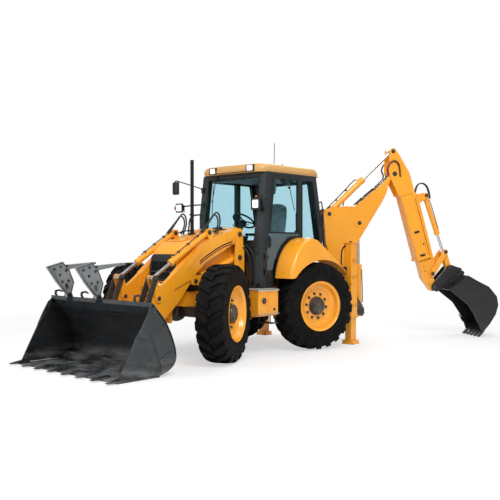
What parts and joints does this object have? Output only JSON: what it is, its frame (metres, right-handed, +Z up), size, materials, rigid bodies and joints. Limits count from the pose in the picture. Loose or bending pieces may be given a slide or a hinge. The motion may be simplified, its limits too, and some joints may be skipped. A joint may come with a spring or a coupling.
{
  "type": "backhoe loader",
  "caption": "Backhoe loader with four steered wheels, a tilting front loader with a split bucket and forks, a glazed cab, and a side-shift backhoe with an extending dipper.",
  "frame": {"origin": "centre of the overall box in plan, on the ground", "axes": "+X forward towards the loader bucket, +Y to the machine's left, +Z up"},
  "size_m": [8.2322, 3.8214, 3.4732],
  "materials": {
    "yellow_paint": "gloss",
    "dark_paint": "satin",
    "black_steel": "satin",
    "tyre": "matt",
    "chrome_rod": "polished",
    "window_glass": "clear",
    "seat_fabric": "woven",
    "cab_plastic": "moulded"
  },
  "bodies": {
    "chassis": {"main_frame": "yellow_paint", "engine_block": "dark_paint", "engine_cowl": "yellow_paint", "front_axle": "dark_paint", "rear_axle": "dark_paint", "exhaust_stack": "black_steel", "cab_shell": "dark_paint", "cab_roof": "yellow_paint", "cab_glass": "window_glass", "operator_seat": "seat_fabric", "steering_console": "cab_plastic", "rear_fenders": "yellow_paint", "side_tanks": "yellow_paint", "sideshift_frame": "yellow_paint"},
    "hood": {"hood": "yellow_paint", "front_grille": "black_steel"},
    "left_door": {"left_door": "dark_paint", "left_door_glass": "window_glass"},
    "right_door": {"right_door": "dark_paint", "right_door_glass": "window_glass"},
    "front_left_knuckle": {"front_left_knuckle": "dark_paint"},
    "front_left_wheel": {"front_left_tyre": "tyre", "front_left_rim": "yellow_paint"},
    "front_right_knuckle": {"front_right_knuckle": "dark_paint"},
    "front_right_wheel": {"front_right_tyre": "tyre", "front_right_rim": "yellow_paint"},
    "rear_left_knuckle": {"rear_left_knuckle": "dark_paint"},
    "rear_left_wheel": {"rear_left_tyre": "tyre", "rear_left_rim": "yellow_paint"},
    "rear_right_knuckle": {"rear_right_knuckle": "dark_paint"},
    "rear_right_wheel": {"rear_right_tyre": "tyre", "rear_right_rim": "yellow_paint"},
    "loader_arms": {"loader_arms": "yellow_paint"},
    "lift_barrels": {"lift_barrels": "yellow_paint"},
    "lift_rods": {"lift_rods": "chrome_rod"},
    "bucket_back": {"bucket_back": "black_steel"},
    "tilt_rockers": {"tilt_rockers": "yellow_paint"},
    "tilt_links": {"tilt_links": "yellow_paint"},
    "tilt_barrels": {"tilt_barrels": "yellow_paint"},
    "tilt_rods": {"tilt_rods": "chrome_rod"},
    "bucket_jaw": {"bucket_jaw": "black_steel"},
    "pallet_forks": {"pallet_forks": "black_steel"},
    "left_stabiliser": {"left_stabiliser": "yellow_paint"},
    "right_stabiliser": {"right_stabiliser": "yellow_paint"},
    "carriage": {"carriage": "yellow_paint"},
    "swing_post": {"swing_post": "yellow_paint"},
    "boom": {"boom": "yellow_paint"},
    "boom_barrel": {"boom_barrel": "yellow_paint"},
    "boom_rod": {"boom_rod": "chrome_rod"},
    "dipper": {"dipper": "yellow_paint"},
    "dipper_barrel": {"dipper_barrel": "yellow_paint"},
    "dipper_rod": {"dipper_rod": "chrome_rod"},
    "extension": {"extension": "yellow_paint"},
    "hoe_bucket_barrel": {"hoe_bucket_barrel": "yellow_paint"},
    "hoe_bucket_rod": {"hoe_bucket_rod": "chrome_rod"},
    "guide_link": {"guide_link": "yellow_paint"},
    "bucket_link": {"bucket_link": "yellow_paint"},
    "hoe_bucket": {"hoe_bucket": "black_steel", "quick_coupler": "black_steel"}
  },
  "joints": [
    {"name": "hood_tilt", "type": "hinge", "parent": "chassis", "child": "hood", "pos_m": [2.25111, -0.5252, 1.1], "axis": [0, 1, 0], "range_deg": [0, 50]},
    {"name": "left_door_swing", "type": "hinge", "parent": "chassis", "child": "left_door", "pos_m": [0.82111, 0.2098, 1.4], "axis": [0, 0, -1], "range_deg": [0, 75]},
    {"name": "right_door_swing", "type": "hinge", "parent": "chassis", "child": "right_door", "pos_m": [0.82111, -1.2602, 1.4], "axis": [0, 0, 1], "range_deg": [0, 75]},
    {"name": "front_left_steer", "type": "hinge", "parent": "chassis", "child": "front_left_knuckle", "pos_m": [2.02111, 0.1748, 0.71], "axis": [0, 0, 1], "range_deg": [-52, 0]},
    {"name": "front_left_roll", "type": "hinge", "parent": "front_left_knuckle", "child": "front_left_wheel", "pos_m": [1.9159, 0.39051, 0.71], "axis": [-0.4384, 0.8988, 0], "continuous": true},
    {"name": "front_right_steer", "type": "hinge", "parent": "chassis", "child": "front_right_knuckle", "pos_m": [2.02111, -1.2252, 0.71], "axis": [0, 0, 1], "range_deg": [-52, 0]},
    {"name": "front_right_roll", "type": "hinge", "parent": "front_right_knuckle", "child": "front_right_wheel", "pos_m": [2.12632, -1.44091, 0.71], "axis": [-0.4384, 0.8988, 0], "continuous": true},
    {"name": "rear_left_steer", "type": "hinge", "parent": "chassis", "child": "rear_left_knuckle", "pos_m": [-0.17889, 0.1748, 0.71], "axis": [0, 0, 1], "range_deg": [-12, 40]},
    {"name": "rear_left_roll", "type": "hinge", "parent": "rear_left_knuckle", "child": "rear_left_wheel", "pos_m": [-0.12083, 0.40767, 0.71], "axis": [0.2419, 0.9703, 0], "continuous": true},
    {"name": "rear_right_steer", "type": "hinge", "parent": "chassis", "child": "rear_right_knuckle", "pos_m": [-0.17889, -1.2252, 0.71], "axis": [0, 0, 1], "range_deg": [-12, 40]},
    {"name": "rear_right_roll", "type": "hinge", "parent": "rear_right_knuckle", "child": "rear_right_wheel", "pos_m": [-0.23695, -1.45807, 0.71], "axis": [0.2419, 0.9703, 0], "continuous": true},
    {"name": "arms_lift", "type": "hinge", "parent": "chassis", "child": "loader_arms", "pos_m": [1.12111, -0.5252, 1.86], "axis": [0, -1, 0], "range_deg": [-3, 78]},
    {"name": "lift_barrels_turn", "type": "hinge", "parent": "chassis", "child": "lift_barrels", "pos_m": [1.12111, -0.5252, 1.5], "axis": [0, -1, 0], "range_deg": [-3.86, 75.46]},
    {"name": "lift_rods_extend", "type": "slide", "parent": "lift_barrels", "child": "lift_rods", "axis": [0.9355, 0, -0.3534], "range_m": [-0.0274, 0.462]},
    {"name": "bucket_tilt", "type": "hinge", "parent": "loader_arms", "child": "bucket_back", "pos_m": [2.94111, -0.5252, 0.38], "axis": [0, -1, 0], "range_deg": [-90, 30]},
    {"name": "rockers_turn", "type": "hinge", "parent": "loader_arms", "child": "tilt_rockers", "pos_m": [2.72111, -0.5252, 0.94], "axis": [0, -1, 0], "range_deg": [-91, 31]},
    {"name": "tilt_links_turn", "type": "hinge", "parent": "tilt_rockers", "child": "tilt_links", "pos_m": [2.80111, -0.5252, 1.22], "axis": [0, -1, 0], "range_deg": [-31, 91]},
    {"name": "tilt_barrels_turn", "type": "hinge", "parent": "loader_arms", "child": "tilt_barrels", "pos_m": [1.74111, -0.5252, 1.88], "axis": [0, -1, 0], "range_deg": [-3.34, 1.78]},
    {"name": "tilt_rods_extend", "type": "slide", "parent": "tilt_barrels", "child": "tilt_rods", "axis": [0.8489, 0, -0.5286], "range_m": [-0.142, 0.4061]},
    {"name": "bucket_jaw_open", "type": "hinge", "parent": "bucket_back", "child": "bucket_jaw", "pos_m": [3.42111, -0.5252, 0.85], "axis": [0, -1, 0], "range_deg": [0, 60]},
    {"name": "forks_flip", "type": "hinge", "parent": "bucket_back", "child": "pallet_forks", "pos_m": [3.46611, -0.5252, 0.975], "axis": [0, -1, 0], "range_deg": [-150, 0]},
    {"name": "left_stabiliser_lift", "type": "slide", "parent": "chassis", "child": "left_stabiliser", "axis": [0, 0, 1], "range_m": [0, 0.38]},
    {"name": "right_stabiliser_lift", "type": "slide", "parent": "chassis", "child": "right_stabiliser", "axis": [0, 0, 1], "range_m": [0, 0.38]},
    {"name": "carriage_shift", "type": "slide", "parent": "chassis", "child": "carriage", "axis": [0, 1, 0], "range_m": [-1, 0.1]},
    {"name": "hoe_swing", "type": "hinge", "parent": "carriage", "child": "swing_post", "pos_m": [-1.45889, -0.0752, 0.6], "axis": [0, 0, -1], "range_deg": [-125, 55]},
    {"name": "boom_lift", "type": "hinge", "parent": "swing_post", "child": "boom", "pos_m": [-1.60633, 0.02805, 0.9], "axis": [0.5736, 0.8192, 0], "range_deg": [-100, 12]},
    {"name": "boom_barrel_turn", "type": "hinge", "parent": "swing_post", "child": "boom_barrel", "pos_m": [-1.78655, 0.15423, 0.5], "axis": [0.5736, 0.8192, 0], "range_deg": [-88.25, 11.47]},
    {"name": "boom_rod_extend", "type": "slide", "parent": "boom_barrel", "child": "boom_rod", "axis": [0.0102, -0.0072, 0.9999], "range_m": [-0.6439, 0.0861]},
    {"name": "dipper_crowd", "type": "hinge", "parent": "boom", "child": "dipper", "pos_m": [-2.319, 0.52706, 3], "axis": [-0.5736, -0.8192, 0], "range_deg": [-100, 10]},
    {"name": "dipper_barrel_turn", "type": "hinge", "parent": "boom", "child": "dipper_barrel", "pos_m": [-1.30325, -0.18418, 2.26], "axis": [0.5736, 0.8192, 0], "range_deg": [-1.05, 1]},
    {"name": "dipper_rod_extend", "type": "slide", "parent": "dipper_barrel", "child": "dipper_rod", "axis": [-0.5938, 0.4158, 0.6889], "range_m": [-0.6466, 0.0737]},
    {"name": "dipper_extend", "type": "slide", "parent": "dipper", "child": "extension", "axis": [-0.2203, 0.1542, -0.9632], "range_m": [0, 1]},
    {"name": "hoe_bucket_turn", "type": "hinge", "parent": "extension", "child": "hoe_bucket", "pos_m": [-2.97744, 0.98811, 0.92056], "axis": [0.5736, 0.8192, 0], "range_deg": [-130, 20]},
    {"name": "hoe_barrel_turn", "type": "hinge", "parent": "extension", "child": "hoe_bucket_barrel", "pos_m": [-2.85159, 0.89999, 2.61984], "axis": [0.5736, 0.8192, 0], "range_deg": [-1.72, 1.11]},
    {"name": "hoe_rod_extend", "type": "slide", "parent": "hoe_bucket_barrel", "child": "hoe_bucket_rod", "axis": [-0.2698, 0.1889, -0.9442], "range_m": [-0.1445, 0.884]},
    {"name": "guide_link_turn", "type": "hinge", "parent": "extension", "child": "guide_link", "pos_m": [-2.93683, 0.95967, 1.17251], "axis": [0.5736, 0.8192, 0], "range_deg": [-124.04, 19.93]},
    {"name": "bucket_link_turn", "type": "hinge", "parent": "guide_link", "child": "bucket_link", "pos_m": [-3.15002, 1.10895, 1.57534], "axis": [0.5736, 0.8192, 0], "range_deg": [-14.79, 90.61]}
  ],
  "couplings": [
    {"joint": "front_right_steer", "follows": "front_left_steer", "ratio": 1},
    {"joint": "rear_right_steer", "follows": "rear_left_steer", "ratio": 1},
    {"joint": "lift_barrels_turn", "follows": "arms_lift", "ratio": 0.95466},
    {"joint": "lift_rods_extend", "follows": "arms_lift", "m_per_rad": 0.33205},
    {"joint": "rockers_turn", "follows": "bucket_tilt", "ratio": 1},
    {"joint": "tilt_links_turn", "follows": "bucket_tilt", "ratio": -1},
    {"joint": "tilt_barrels_turn", "follows": "bucket_tilt", "ratio": 0.026004},
    {"joint": "tilt_rods_extend", "follows": "bucket_tilt", "m_per_rad": -0.25217},
    {"joint": "boom_barrel_turn", "follows": "boom_lift", "ratio": 0.8725},
    {"joint": "boom_rod_extend", "follows": "boom_lift", "m_per_rad": 0.36322},
    {"joint": "dipper_barrel_turn", "follows": "dipper_crowd", "ratio": 0.000474},
    {"joint": "dipper_rod_extend", "follows": "dipper_crowd", "m_per_rad": 0.36472},
    {"joint": "hoe_barrel_turn", "follows": "hoe_bucket_turn", "ratio": 0.005548},
    {"joint": "hoe_rod_extend", "follows": "hoe_bucket_turn", "m_per_rad": -0.38519},
    {"joint": "guide_link_turn", "follows": "hoe_bucket_turn", "ratio": 0.94645},
    {"joint": "bucket_link_turn", "follows": "hoe_bucket_turn", "ratio": -0.6893}
  ]
}
